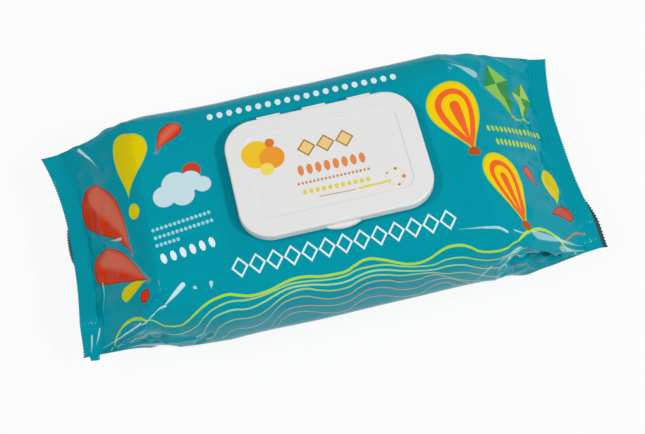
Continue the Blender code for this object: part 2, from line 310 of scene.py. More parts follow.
# The back seal lies along the underside, from its front edge to its back edge
FIN_FRONT = -0.0060
FIN_BACK = 0.0085
FIN_STEP = 0.0012
SEEN_HALF_ROUND = 0.100
around = spaced((
    (-half_round, 0), (-half_round - FIN_FRONT, 6), (-half_round - FIN_FRONT + FIN_STEP, 4),
    (-SEEN_HALF_ROUND, 16), (SEEN_HALF_ROUND, 214),
    (half_round - FIN_BACK - FIN_STEP, 16), (half_round - FIN_BACK, 4), (half_round, 6),
))
left_reach = np.linspace(1.0, 0.0, LEFT_STEPS + 1)[:, None]
right_reach = np.linspace(0.0, 1.0, RIGHT_STEPS + 1)[:, None]
block_x = np.linspace(-LEFT["block"], RIGHT["block"], BLOCK_STEPS + 1)[1:-1, None]
block_reach = (block_x - RIGHT["block"]) / (RIGHT["seal"] - RIGHT["block"])
bag = np.concatenate([
    film_point(LEFT, left_reach, 0.0, around[None, :]),
    film_point(RIGHT, block_reach, 0.0, around[None, :]),
    film_point(RIGHT, right_reach, 0.0, around[None, :]),
])
middle_line = bag[:, np.argmin(np.abs(around))]
along = np.concatenate([[0.0], np.cumsum(np.linalg.norm(np.diff(middle_line, axis=0), axis=1))])
along += -LEFT["block"] - along[LEFT_STEPS]
LEFT_SEAL_WAY = along[0]
RIGHT_SEAL_WAY = along[-1]

# Creases drawn on the flat film, in millimetres: points, half width, height (below 0 sinks in)
CREASES = (
    # The fold from the left seal's front corner up to the edge of the top
    (((-134, -48), (-114, -46.5), (-98, -47.5), (-84, -48.5), (-74, -44)), 3.2, 1.0),
    # The fold under it, and the dimples beside it
    (((-133, -51), (-115, -62), (-101, -80), (-92, -86), (-77, -84)), 2.6, 0.9),
    (((-99, -87), (-92, -79)), 3.0, -1.0),
    (((-76, -91), (-69, -81)), 3.0, -1.0),
    # Short creases that spread from the left seal
    (((-123, 52), (-117, 42), (-110, 32)), 2.4, 0.7),
    (((-138, 14), (-122, 8), (-108, 9)), 2.6, 0.45),
    (((-118, -1), (-104, -7)), 2.0, -0.6),
    (((-137, -12), (-125, -21), (-127, -40)), 2.4, 0.5),
    (((-132, -28), (-135, -40)), 1.8, 0.4),
    (((-112, -22), (-96, -18), (-84, -26)), 2.8, 0.4),
    # The top's back edge, pushed in on the left slope and standing up where the slope begins
    (((-99, 55), (-113, 58)), 8.0, -1.3),
    (((-84, 52), (-93, 54)), 6.0, 0.9),
    # Where the top's back edge meets the right slope
    (((77, 47), (93, 31)), 3.2, 0.8),
    (((93, 31), (100, 44)), 2.6, 0.6),
    (((93, 31), (108, 18)), 2.4, 0.4),
    # The front edge of the top near its right end, and folds from the right seal
    (((54, -46.5), (70, -48.5), (84, -49.5), (98, -45), (118, -44)), 2.6, 0.8),
    (((143, -25), (120, -26), (102, -33)), 2.8, 0.6),
    (((143, -8), (122, -6), (108, -9)), 2.2, -0.5),
    (((142, 24), (124, 21), (111, 25)), 2.4, 0.5),
    (((142, 40), (120, 43), (101, 52)), 2.8, 0.6),
    (((137, -47), (118, -58), (100, -66), (84, -64)), 3.0, 1.4),
    (((118, -58), (108, -78), (92, -90)), 3.0, 1.4),
    (((84, -64), (88, -80), (80, -92)), 3.0, -1.2),
    (((100, -66), (98, -84)), 3.0, -1.4),
)
# Crumpled places, each of some crossing folds: middle, half length and half width in millimetres, depth, seed
FOLDS = 6
CRUMPLES = (
    ((104, -76), (36, 30), 3.0, 3),
    ((-104, -78), (30, 16), 1.3, 5),
    ((-122, 8), (16, 44), 0.7, 11),
    ((124, 6), (18, 46), 0.7, 17),
)
# The film sinks below its plain shape by this much on the whole, in millimetres
SUNK = 0.30
PLEAT_HEIGHT = 0.34
GROOVE_DEPTH = 0.5
GROOVE_HALF_WIDTH = 0.9


def relief(u, v, places):
    """How far the film stands off its plain shape at flat places u and v, all in millimetres."""
    # Slow waves all over
    lift = 0.28 * np.sin(u / 17.0 + 1.1) * np.sin(v / 21.0 + 0.4)
    lift = lift + 0.16 * np.sin(u / 9.1 - v / 13.0 + 2.0)
    # Fine pleats that run out of the seals
    near_seal = np.maximum(smooth_step((-u - 92) / 26), smooth_step((u - 84) / 30))
    pleats = np.sin(v / 3.1 + 0.9 * np.sin(v / 11.0)) + 0.6 * np.sin(v / 1.75 + 1.2)
    lift = lift + PLEAT_HEIGHT * near_seal * pleats
    for points, half_width, height in CREASES:
        for (u1, v1), (u2, v2) in zip(points, points[1:]):
            length = math.hypot(u2 - u1, v2 - v1)
            share = ((u - u1) * (u2 - u1) + (v - v1) * (v2 - v1)) / length**2
            share = np.clip(share, 0.0, 1.0)
            away = np.hypot(u - u1 - share * (u2 - u1), v - v1 - share * (v2 - v1))
            lift = lift + height * np.clip(1 - away / half_width, 0.0, 1.0)
    for (u0, v0), (half_u, half_v), depth, seed in CRUMPLES:
        random = np.random.default_rng(seed)
        local = np.zeros_like(u + v)
        for fold in range(FOLDS):
            angle = random.uniform(0, math.pi)
            pitch = random.uniform(10, 22)
            place = (u * math.cos(angle) + v * math.sin(angle)) / pitch + random.uniform(0, 1)
            local += (np.abs(place % 1.0 - 0.5) * 4 - 1) / (1 + 0.5 * fold)
        mask = smooth_step(1.4 - np.hypot((u - u0) / half_u, (v - v0) / half_v) * 1.4)
        lift = lift + depth * mask * local * 0.5
    # The film lies flat under the closure and on the floor
    past_x = np.abs(places[..., 0] - CLOSURE_X) - FLAT_HALF_X
    past_y = np.abs(places[..., 1]) - FLAT_HALF_Y
    below_closure = 1 - smooth_step(np.maximum(past_x, past_y) / 0.010)
    below_closure = np.where(places[..., 2] > 0.040, below_closure, 0.0)
    on_floor = 1 - smooth_step(places[..., 2] / 0.006)
    lift = (lift - SUNK) * (1 - below_closure) * (1 - on_floor)
    # Two grooves mark the edges of the back seal
    from_middle = half_round * 1000 - np.abs(v)
    edge = np.where(v < 0, -FIN_FRONT, FIN_BACK) * 1000
    groove = np.clip(1 - np.abs(from_middle - edge) / GROOVE_HALF_WIDTH, 0.0, 1.0)
    return np.where(np.abs(v) > 120, lift - GROOVE_DEPTH * groove, lift)


u_mm = along[:, None] * 1000
v_mm = around[None, :] * 1000
bag_relief = relief(u_mm, v_mm, bag)
end_fade = np.minimum(1.0, np.minimum(np.arange(len(along)), np.arange(len(along))[::-1]) / 4)[:, None]
normals = outward(bag)
bag = bag + normals * (bag_relief * end_fade)[..., None] * 0.001
bag[:, -1] = bag[:, 0]
bag[..., 2] = np.maximum(bag[..., 2], 0.0)

WELD = 1e-6
film_bag = grid_piece("film_bag", bag, along, around, weld=WELD)

# The print: every shape has its place on the flat film, in millimetres. It is drawn by its distance, which
# is below 0 inside the shape. The curves of the wavy lines span this part of the film.
CURVE_LOW = np.array((-140.0, -110.0))
CURVE_SPAN = np.array((280.0, 100.0))


def maths(tree, operation, first, second=None, clamp=False):
    """A Math node of one or two inputs."""
    inputs = {0: first} if second is None else {0: first, 1: second}
    return add_node(tree, "Math", inputs, operation=operation, use_clamp=clamp)


def coloured(tree, below, mask, colour):
    """A colour laid over the one below wherever the mask is 1."""
    mixed = add_node(tree, "Mix", data_type="RGBA")
    tree.links.new(mask.outputs[0], mixed.inputs[0])
    for place, value in ((6, below), (7, colour)):
        if isinstance(value, str):
            mixed.inputs[place].default_value = linear(value)
        else:
            tree.links.new(value, mixed.inputs[place])
    return mixed.outputs[2]


def inside_of(tree, distance, soft=0.12):
    """1 inside a shape and 0 outside it, from its distance in millimetres, with a fine soft edge."""
    inputs = {0: distance, 1: -1 / soft, 2: 0.5}
    return add_node(tree, "Math", inputs, operation="MULTIPLY_ADD", use_clamp=True)


def placed(tree, flat, x, y, angle=0.0, size=(1.0, 1.0)):
    """The flat place as a shape sees it: from its own middle, turned and measured in its own size."""
    return add_node(tree, "Mapping", {
        "Vector": flat,
        "Location": (x, y, 0.0),
        "Rotation": (0.0, 0.0, math.radians(angle)),
        "Scale": (size[0], size[1], 1.0),
    }, vector_type="TEXTURE")


def oval(tree, flat, x, y, half_x, half_y, angle=0.0):
    """Distance to an oval."""
    own = placed(tree, flat, x, y, angle, (half_x, half_y))
    away = add_node(tree, "VectorMath", {0: own}, operation="LENGTH")
    scale = min(half_x, half_y)
    return add_node(tree, "Math", {0: away.outputs["Value"], 1: scale, 2: -scale}, operation="MULTIPLY_ADD")


def drop(tree, flat, head, tail, radius, bend=0.0):
    """Distance to a drop that tapers from its round head to its tail, bowed sideways by bend."""
    length = math.dist(head, tail)
    angle = math.degrees(math.atan2(tail[1] - head[1], tail[0] - head[0]))
    own = add_node(tree, "SeparateXYZ", {0: placed(tree, flat, *head, angle)})
    share = maths(tree, "DIVIDE", own.outputs["X"], length, clamp=True)
    bent = maths(tree, "MULTIPLY", maths(tree, "SINE", maths(tree, "MULTIPLY", share, math.pi)), bend)
    across = maths(tree, "SUBTRACT", own.outputs["Y"], bent)
    rest = maths(tree, "SUBTRACT", own.outputs["X"], maths(tree, "MULTIPLY", share, length))
    away = add_node(tree, "VectorMath", {0: add_node(tree, "CombineXYZ", {"X": rest, "Y": across})},
                    operation="LENGTH")
    taper = maths(tree, "COSINE", maths(tree, "MULTIPLY", share, math.pi / 2))
    taper = maths(tree, "POWER", maths(tree, "MAXIMUM", taper, 0.0), 1.5)
    width = maths(tree, "MULTIPLY", taper, radius)
    return maths(tree, "SUBTRACT", away.outputs["Value"], width)


def bar(tree, flat, x, y, half_x, half_y, angle=0.0):
    """Distance to a bar with round ends."""
    own = add_node(tree, "SeparateXYZ", {0: placed(tree, flat, x, y, angle)})
    past = maths(tree, "SUBTRACT", maths(tree, "ABSOLUTE", own.outputs["X"]), half_x - half_y)
    past = maths(tree, "MAXIMUM", past, 0.0)
    offset = add_node(tree, "CombineXYZ", {"X": past, "Y": own.outputs["Y"]})
    away = add_node(tree, "VectorMath", {0: offset}, operation="LENGTH")
    return maths(tree, "SUBTRACT", away.outputs["Value"], half_y)


def row(tree, flat, start, end, count, half_x, half_y, diamonds=False):
    """Distance to a row of evenly spaced ovals or diamonds from the start to the end."""
    length = math.dist(start, end)
    angle = math.degrees(math.atan2(end[1] - start[1], end[0] - start[0]))
    own = add_node(tree, "SeparateXYZ", {0: placed(tree, flat, *start, angle)})
    pitch = length / (count - 1)
    number = maths(tree, "ROUND", maths(tree, "DIVIDE", own.outputs["X"], pitch))
    number = maths(tree, "MINIMUM", maths(tree, "MAXIMUM", number, 0.0), count - 1)
    along_row = maths(tree, "SUBTRACT", own.outputs["X"], maths(tree, "MULTIPLY", number, pitch))
    spot = add_node(tree, "CombineXYZ", {"X": maths(tree, "DIVIDE", along_row, half_x),
                                         "Y": maths(tree, "DIVIDE", own.outputs["Y"], half_y)})
    if diamonds:
        unsigned = add_node(tree, "VectorMath", {0: spot}, operation="ABSOLUTE")
        sides = add_node(tree, "SeparateXYZ", {0: unsigned})
        away = maths(tree, "ADD", sides.outputs["X"], sides.outputs["Y"])
        scale = half_x * half_y / math.hypot(half_x, half_y)
    else:
        away = add_node(tree, "VectorMath", {0: spot}, operation="LENGTH").outputs["Value"]
        scale = min(half_x, half_y)
    return maths(tree, "MULTIPLY", maths(tree, "SUBTRACT", away, 1.0), scale)


def ring(tree, distance, half_line):
    """Distance to the outline of a shape."""
    return maths(tree, "SUBTRACT", maths(tree, "ABSOLUTE", distance), half_line)


def wave(tree, parts, points, half_line):
    """Distance to a wavy line through the points. Past its ends there is no line."""
    first, last = points[0][0], points[-1][0]
    inputs = {0: parts.outputs["X"], 1: 1 / CURVE_SPAN[0], 2: -CURVE_LOW[0] / CURVE_SPAN[0]}
    share = add_node(tree, "Math", inputs, operation="MULTIPLY_ADD")
    line = add_node(tree, "FloatCurve", {"Value": share})
    curve = line.mapping.curves[0]
    spots = (np.array(points) - CURVE_LOW) / CURVE_SPAN
    spots = np.concatenate([[[0.0, spots[0, 1]]], spots, [[1.0, spots[-1, 1]]]])
    curve.points[0].location = spots[0]
    curve.points[1].location = spots[-1]
    for spot in spots[1:-1]:
        curve.points.new(*spot)
    line.mapping.update()
    inputs = {0: line, 1: CURVE_SPAN[1], 2: CURVE_LOW[1]}
    height = add_node(tree, "Math", inputs, operation="MULTIPLY_ADD")
    away = maths(tree, "ABSOLUTE", maths(tree, "SUBTRACT", parts.outputs["Y"], height))
    distance = maths(tree, "SUBTRACT", away, half_line)
    past = maths(tree, "MAXIMUM", maths(tree, "SUBTRACT", first, parts.outputs["X"]),
                 maths(tree, "SUBTRACT", parts.outputs["X"], last))
    return maths(tree, "MAXIMUM", distance, past)


# Wavy lines along the front: colour, half width of the line, points
WAVES = (
    ("#B08A62", 0.55, (
        (80, -106), (86, -97), (88, -93), (91, -88), (94, -89), (97, -93), (103, -104),
    )),
    ("#B08A62", 0.40, (
        (116, -48), (121, -45.5), (127, -43.4), (133, -41.8), (138, -42.6),
    )),
    ("#B9A886", 0.52, (
        (-42, -102), (-37, -92), (-31, -80), (-26, -77), (-18, -80.5), (-11, -86), (-2, -89),
        (5, -82), (11, -79), (19, -82), (27, -88), (35, -90), (42, -84), (47, -82), (54, -88),
        (62, -98), (68, -106),
    )),
    ("#B7AC8A", 0.52, (
        (-47, -102), (-40, -90), (-34, -77), (-29, -71), (-23, -71), (-14, -75), (-6, -78.5),
        (-1, -78), (6, -72.5), (12, -69.5), (20, -72.5), (27, -79), (35, -81), (41, -77),
        (47, -76.5), (54, -81), (62, -91), (70, -102),
    )),
    ("#B3B48C", 0.52, (
        (-64, -88), (-57, -80), (-48, -82.5), (-41, -78), (-35, -68), (-28, -63.2), (-22, -63),
        (-14, -67), (-7, -70.5), (0, -70), (6, -66), (12, -64), (20, -65.5), (27, -70), (35, -71.5),
        (42, -70), (49, -75), (57, -83), (67, -91), (74, -96),
    )),
    ("#A9CC8C", 0.55, (
        (-72, -88), (-63, -73), (-56, -68.5), (-47, -70), (-40, -67), (-33, -61.5), (-27, -59),
        (-21, -58.5), (-13, -61.5), (-5, -64), (1, -63.7), (7, -61), (13, -60), (20, -61.5),
        (27, -64.3), (35, -66), (43, -68), (50, -72), (57, -73.5), (66, -81), (76, -88),
    )),
    ("#A4DC9E", 0.55, (
        (-76, -82), (-69, -70), (-62.5, -62.5), (-56, -61), (-48, -62.3), (-40, -60.4),
        (-33, -57.8), (-26, -56.3), (-16, -57.4), (-8, -59.5), (0, -60), (7, -58.3), (13, -57.4),
        (20, -58.5), (27, -61), (35, -63.6), (44, -65.5), (50, -65), (57, -66.2), (65, -72),
        (73, -76), (84, -72), (96, -66), (108, -70), (118, -80),
    )),
    ("#A6D87E", 0.45, (
        (-112, -66), (-101, -70), (-91, -73.5), (-83, -75.3), (-75.5, -71), (-69.5, -63),
        (-63.4, -58.2), (-56, -56.2), (-48, -57.2), (-41, -57), (-34, -55.7), (-26, -54.4),
        (-18, -55), (-9, -56.5), (0, -56.8), (7, -55), (13, -54.9), (20.5, -55.8), (28, -58.6),
        (35, -60.7), (43, -62), (50, -60.5), (57, -60.9), (65, -64.5), (72, -67), (80, -65),
        (90, -58), (100, -53), (110, -56), (122, -66),
    )),
    ("#AEDD46", 0.68, (
        (-128, -58), (-122, -48.5), (-115, -44.6), (-108, -44), (-102, -45.8), (-97, -51.5),
        (-92.5, -60), (-87.5, -66.4), (-82.6, -67.2), (-78, -64.4), (-72.8, -59.6), (-67.4, -55.7),
        (-62, -53.3), (-56, -52.5), (-51, -54), (-45, -55.6), (-36, -55), (-30, -53.4),
        (-23.7, -52.3), (-18, -52.6), (-11, -54.2), (-4, -54.7), (1, -54.6), (6, -52.6), (12, -51),
        (19, -52.8), (26, -56), (32, -58.4), (37, -58.9), (42, -57.8), (47, -55.5), (52.3, -54),
        (57.3, -54.3), (62, -56.3), (66.5, -59.6), (72, -61), (78, -60.6), (84, -55), (91, -46),
        (99, -41.6), (106, -41), (114, -43), (124, -50), (134, -58),
    )),
)
TURQUOISE = "#0099AA"
YELLOW = "#E0CB08"
LIME = "#B4D433"
RED = "#D63A14"
DARK_RED = "#8E2F1E"
ORANGE = "#F4662F"
WHITE = "#E4F3F6"
PALE_BLUE = "#9FD5DC"
BRIGHT_YELLOW = "#F6D008"

# Glossy laminate, reverse printed: the ink lies under a clear film that gives soft, broken highlights
film_look = bpy.data.materials.new("printed_glossy_laminate")
tree = empty_tree(film_look)
flat = add_node(tree, "UVMap", uv_map="flat_film").outputs["UV"]
parts = add_node(tree, "SeparateXYZ", {0: flat})
# The ink is a little uneven, as on thin film
blotches = add_node(tree, "TexNoise", {"Vector": flat, "Scale": 0.045, "Detail": 2.0})
colour = coloured(tree, TURQUOISE, maths(tree, "MULTIPLY", blotches.outputs["Fac"], 0.22), "#00808F")

for line_colour, half_line, points in WAVES:
    distance = wave(tree, parts, points, half_line)
    colour = coloured(tree, colour, inside_of(tree, distance, 0.25), line_colour)

# Drops at both ends: head, tail, radius of the head, sideways bow, edge colour, colour. The large red ones
# have a soft shine.
EDGE = 0.55
SHINE_FROM = 4.3
DROPS = (
    ((-89.2, 34.2), (-94.8, 9.0), 9.7, -0.8, LIME, YELLOW),
    ((-66.0, 40.6), (-75.8, 29.0), 4.9, -1.0, DARK_RED, RED),
    ((-121.0, 16.0), (-99.6, -17.5), 11.4, 3.6, DARK_RED, RED),
    ((-122.0, -13.4), (-91.8, -36.4), 9.0, 3.2, DARK_RED, RED),
    ((-108.0, -32.6), (-93.4, -34.8), 3.6, 1.8, LIME, YELLOW),
    ((109.2, -13.6), (116.0, -20.8), 2.5, 0.4, DARK_RED, "#D9614E"),
    ((126.8, -17.2), (126.2, -28.5), 6.4, 0.8, LIME, YELLOW),
    ((131.0, -33.4), (116.0, -34.4), 3.8, -1.4, DARK_RED, "#C9523F"),
)
for head, tail, radius, bend, edge_colour, ink in DROPS:
    distance = drop(tree, flat, head, tail, radius, bend)
    colour = coloured(tree, colour, inside_of(tree, distance), edge_colour)
    colour = coloured(tree, colour, inside_of(tree, maths(tree, "ADD", distance, EDGE), 0.3), ink)
    if edge_colour == DARK_RED and radius > SHINE_FROM:
        spot = (head[0] + radius * 0.25, head[1] + radius * 0.35)
        shine = inside_of(tree, drop(tree, flat, spot, tail, radius * 0.5, bend), 3.0)
        colour = coloured(tree, colour, maths(tree, "MULTIPLY", shine, 0.5), "#E08A70")
for x, y, half_x, half_y, angle, edge_colour, ink in (
    (-93.2, 2.0, 3.4, 4.0, 8.0, LIME, YELLOW),
    (-96.2, -40.2, 3.8, 2.6, -40.0, DARK_RED, RED),
):
    distance = oval(tree, flat, x, y, half_x, half_y, angle)
    colour = coloured(tree, colour, inside_of(tree, distance), edge_colour)
    colour = coloured(tree, colour, inside_of(tree, maths(tree, "ADD", distance, 0.5), 0.3), ink)

# Rows of ovals: start, end, number, half length, half height, ink
ROWS = (
    ((-46.0, 44.3), (49.0, 44.3), 20, 1.5, 2.3, WHITE),
    ((-84.5, -12.5), (-56.5, -9.0), 14, 0.8, 1.0, PALE_BLUE),
    ((-84.0, -17.0), (-56.0, -13.5), 14, 0.8, 1.0, PALE_BLUE),
    ((-84.0, -21.3), (-73.5, -20.0), 6, 0.8, 1.0, PALE_BLUE),
    ((-82.0, -29.0), (-58.0, -25.0), 6, 1.4, 2.8, WHITE),
    ((91.0, 5.9), (131.5, 8.4), 14, 1.0, 1.6, LIME),
    ((94.5, -0.9), (124.0, 0.6), 11, 1.0, 1.6, LIME),
)
for start, end, count, half_x, half_y, ink in ROWS:
    distance = row(tree, flat, start, end, count, half_x, half_y)
    colour = coloured(tree, colour, inside_of(tree, distance), ink)
# A chain of open diamonds in front of the closure
chain = row(tree, flat, (-47.5, -41.0), (54.5, -41.0), 13, 3.6, 4.5, diamonds=True)
colour = coloured(tree, colour, inside_of(tree, ring(tree, chain, 0.45)), WHITE)

# A white cloud in front of a small red sun
colour = coloured(tree, colour, inside_of(tree, oval(tree, flat, -60.5, 15.5, 4.6, 4.6)), "#C8452C")
PUFFS = ((-76.0, 4.5, 5.6), (-69.5, 9.5, 7.0), (-62.0, 10.0, 5.6), (-56.5, 7.0, 4.2), (-67.0, 3.5, 5.8))
for x, y, radius in PUFFS:
    puff = oval(tree, flat, x, y, radius, radius)
    colour = coloured(tree, colour, inside_of(tree, puff, 0.4), "#C9E2E8")

# Two striped balloons: middle, radius, lean in degrees
BALLOONS = (
    ((74.5, 19.0), 13.5, 6.0),
    ((90.5, -19.0), 11.0, 12.0),
)


def below_of(x, y, away, lean):
    """The place below another one along a line that leans by some degrees."""
    return (x + away * math.sin(math.radians(lean)), y - away * math.cos(math.radians(lean)))


for (x, y), radius, lean in BALLOONS:
    low = below_of(x, y, 2.0 * radius, lean)
    body = drop(tree, flat, (x, y), low, radius)
    colour = coloured(tree, colour, inside_of(tree, maths(tree, "SUBTRACT", body, 0.9), 0.2), LIME)
    colour = coloured(tree, colour, inside_of(tree, body, 0.3), BRIGHT_YELLOW)
    outer = ring(tree, drop(tree, flat, (x, y), low, radius * 0.62), radius * 0.12)
    inner = drop(tree, flat, (x, y), low, radius * 0.2)
    for band in (outer, inner):
        stripe = maths(tree, "MAXIMUM", band, body)
        colour = coloured(tree, colour, inside_of(tree, stripe, 0.3), ORANGE)
    basket = bar(tree, flat, *low, radius * 0.26, radius * 0.17, lean)
    colour = coloured(tree, colour, inside_of(tree, basket, 0.2), "#B3571C")

# Two kites: crossing of the spars, half width, length above and below it, lean, light and dark panels
KITES = (
    ((107.5, 33.0), 10.0, 11.0, 18.5, 18.0, "#8BC34F", "#2F8F4A"),
    ((125.5, 28.0), 7.0, 8.0, 13.0, -14.0, "#A6CF5A", "#3F9A52"),
)
for (x, y), half_width, above, below, lean, light, dark in KITES:
    own = add_node(tree, "SeparateXYZ", {0: placed(tree, flat, x, y, lean)})
    upright = maths(tree, "MAXIMUM", maths(tree, "DIVIDE", own.outputs["Y"], above),
                    maths(tree, "DIVIDE", own.outputs["Y"], -below))
    sideways = maths(tree, "DIVIDE", maths(tree, "ABSOLUTE", own.outputs["X"]), half_width)
    past_edge = maths(tree, "SUBTRACT", maths(tree, "ADD", sideways, upright), 1.0)
    sail = inside_of(tree, maths(tree, "MULTIPLY", past_edge, half_width * 0.8), 0.2)
    colour = coloured(tree, colour, sail, dark)
    sign = maths(tree, "MULTIPLY", own.outputs["X"], own.outputs["Y"])
    opposite = maths(tree, "GREATER_THAN", sign, 0.0)
    colour = coloured(tree, colour, maths(tree, "MULTIPLY", sail, opposite), light)
    low = below_of(x, y, below, lean)
    tail = drop(tree, flat, low, (low[0] + half_width, low[1] + 1.0), 0.9, -1.6)
    colour = coloured(tree, colour, inside_of(tree, tail, 0.2), light)

# Painted highlights and reflections on the film's sharp folds and facets: thin pale drops by head, tail,
# radius and strength
PAINTED_CREASE_HIGHLIGHTS = (
    ((-75.6, -44.2), (-88.5, -55.0), 1.15, 0.9),
    ((-86.0, -53.6), (-96.0, -52.4), 0.50, 0.8),
    ((-93.0, -53.0), (-106.0, -46.4), 0.42, 0.8),
    ((-102.0, -47.8), (-131.0, -48.0), 0.36, 0.8),
    ((-131.5, -40.0), (-134.5, -46.0), 0.50, 0.7),
    ((-136.0, -42.0), (-137.5, -50.0), 0.40, 0.7),
    ((99.0, -43.4), (126.0, -45.4), 1.70, 0.45),
    ((118.0, -48.4), (134.0, -50.4), 1.40, 0.40),
    ((86.0, -66.0), (81.0, -86.0), 3.00, 0.45),
    ((88.0, -57.0), (73.0, -74.0), 0.80, 0.60),
    ((72.0, -74.0), (64.0, -93.0), 0.50, 0.50),
    ((-119.5, 47.0), (-111.5, 33.5), 0.80, 0.8),
    ((-106.5, -5.8), (-115.0, -3.0), 0.70, 0.6),
    ((-124.5, -20.5), (-126.0, -34.0), 0.35, 0.5),
    ((92.5, 36.0), (79.5, 43.5), 2.30, 0.5),
    ((81.0, -49.6), (58.0, -46.6), 0.70, 0.6),
    ((86.0, -46.5), (96.0, -43.5), 0.40, 0.6),
    ((-70.4, -46.4), (-69.4, -47.2), 0.80, 0.7),
    ((-62.4, -45.2), (-62.9, -48.4), 0.85, 0.7),
    ((-120.0, -57.0), (-101.0, -79.0), 0.50, 0.5),
    ((119.0, -45.0), (134.0, -47.5), 0.60, 0.5),
)
for head, tail, radius, strength in PAINTED_CREASE_HIGHLIGHTS:
    mask = maths(tree, "MULTIPLY", inside_of(tree, drop(tree, flat, head, tail, radius), 0.35), strength)
    # The pale colour is a painted highlight, laid over the print
    colour = coloured(tree, colour, mask, "#D5F1F4")

# Film as thin as this is never quite smooth, and the back seal is crimped in fine ribs
CRIMP_PITCH = 1.6
CRIMP_HALF_WIDTH = 5.6
fine = add_node(tree, "TexNoise", {"Vector": flat, "Scale": 0.16, "Detail": 3.0, "Roughness": 0.55})
crimp = maths(tree, "SINE", maths(tree, "MULTIPLY", parts.outputs["X"], 2 * math.pi / CRIMP_PITCH))
from_middle = maths(tree, "SUBTRACT", half_round * 1000, maths(tree, "ABSOLUTE", parts.outputs["Y"]))
in_back_seal = maths(tree, "LESS_THAN", from_middle, CRIMP_HALF_WIDTH)
crimp = maths(tree, "MULTIPLY", maths(tree, "MULTIPLY", crimp, in_back_seal), 0.4)
bump = add_node(tree, "Bump", {
    "Height": maths(tree, "ADD", fine.outputs["Fac"], crimp), "Strength": 0.10, "Distance": 0.0012})
shader = add_node(tree, "BsdfPrincipled", {
    "Base Color": colour,
    "Roughness": 0.11,
    "IOR": 1.15,
    "Normal": bump,
})
add_node(tree, "OutputMaterial", {"Surface": shader})
film_bag.data.materials.append(film_look)
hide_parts("film_pack")
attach(film_bag, "pack")


# End seals
# The two ends of the film, pressed together between hot ribbed jaws and cut with a zigzag knife.
# The jaws leave fine ribs along the seal, and the corners stand out and hang down a little.

RIB_PITCH = 0.0016
RIB_HEIGHT = 0.00015
TOOTH_PITCH = 0.0014
TOOTH_DEPTH = 0.0008
TOOTH_RUN = 0.0022
PRESSED_EDGE = 0.0004
SWAY_HEIGHT = 0.00035
SEAL_STEPS = 36
seal_around = spaced(((-half_round, 0), (0.0, 240), (half_round, 240)))


def end_seal(name, end, seal_way):
    """A closed sleeve from the bag's end to its zigzag edge, where both sides meet."""
    into = np.linspace(0.0, 1.0, SEAL_STEPS + 1)[::end["way"], None] * SEAL_WIDTH
    tooth = np.abs((seal_around[None, :] / TOOTH_PITCH) % 1.0 - 0.5) * 2
    cut = smooth_step((into - SEAL_WIDTH + TOOTH_RUN) / TOOTH_RUN) * TOOTH_DEPTH * (tooth - 1.0)
    thickness = SEAL_THICKNESS * smooth_step((SEAL_WIDTH - into) / PRESSED_EDGE)
    places = film_point(end, 1.0, into + cut, seal_around[None, :], thickness)
    rib = RIB_HEIGHT * np.sin(into / RIB_PITCH * 2 * math.pi) * smooth_step(into / 0.001)
    sway = SWAY_HEIGHT * np.sin(places[..., 1] / 0.0061 + 0.7) * smooth_step(into / 0.004)
    places[..., 2] += rib + sway
    places[:, -1] = places[:, 0]
    way = end["way"] * into[:, 0] + seal_way
    return grid_piece(name, places, way, seal_around, weld=WELD)


SEALS = (("left_end_seal", LEFT, LEFT_SEAL_WAY), ("right_end_seal", RIGHT, RIGHT_SEAL_WAY))
for name, end, seal_way in SEALS:
    seal = end_seal(name, end, seal_way)
    seal.data.materials.append(film_look)
    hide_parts("film_pack")
    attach(seal, "pack")


# Loose film edges at the seals
# Under each seal the lower film stands out past the zigzag cut, and a flap hangs down at the front corner
# of the left seal. They are single layers of the same laminate.

EDGE_LENGTH = 0.004
EDGE_STEPS = 9
EDGE_POINTS = 121
BELOW_SEAL = 0.0007
FADE_POWER = 0.6


def fine_bump(tree, scale, strength, distance):
    """The slight unevenness of a moulded or unprinted surface."""
    place = add_node(tree, "TexCoord").outputs["Object"]
    noise = add_node(tree, "TexNoise", {"Vector": place, "Scale": scale, "Detail": 3.0})
    inputs = {"Height": noise.outputs["Fac"], "Strength": strength, "Distance": distance}
    return add_node(tree, "Bump", inputs)


# The laminate's inner side, half matt, coloured dark as painted shade for the seal's shadow
shaded_underside_look = bpy.data.materials.new("laminate_underside_painted_shade")
tree = empty_tree(shaded_underside_look)
shader = add_node(tree, "BsdfPrincipled", {
    "Base Color": linear("#12434C"),
    "Roughness": 0.35,
    "Normal": fine_bump(tree, 400.0, 0.2, 0.0002),
})
add_node(tree, "OutputMaterial", {"Surface": shader})


def loose_edge(name, end, first, last, stands_out, hangs):
    """A strip of the lower film from first to last on the way round, in millimetres."""
    way_round = np.linspace(first, last, EDGE_POINTS) * 0.001
    into = np.linspace(SEAL_WIDTH - EDGE_LENGTH, SEAL_WIDTH, EDGE_STEPS)[::end["way"], None]
    share = (into - SEAL_WIDTH + EDGE_LENGTH) / EDGE_LENGTH
    fade = np.sin(np.linspace(0, math.pi, EDGE_POINTS))[None, :] ** FADE_POWER
    tooth = np.abs((way_round[None, :] / TOOTH_PITCH) % 1.0 - 0.5) * 2
    into = into + share**2 * (stands_out * fade - TOOTH_DEPTH * tooth)
    places = film_point(end, 1.0, into, way_round[None, :])
    places[..., 2] -= BELOW_SEAL + hangs * share**2 * fade
    strip = grid_piece(name, places, np.linspace(0.0, EDGE_LENGTH, EDGE_STEPS), way_round)
    # Its dark colour is painted shade: the strip lies in the seal's shadow
    strip.data.materials.append(shaded_underside_look)
    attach(strip, "pack")


loose_edge("right_loose_edge", RIGHT, -60.0, -27.0, 0.0030, 0.0020)
loose_edge("left_loose_edge", LEFT, -5.0, 13.0, 0.0016, 0.0008)

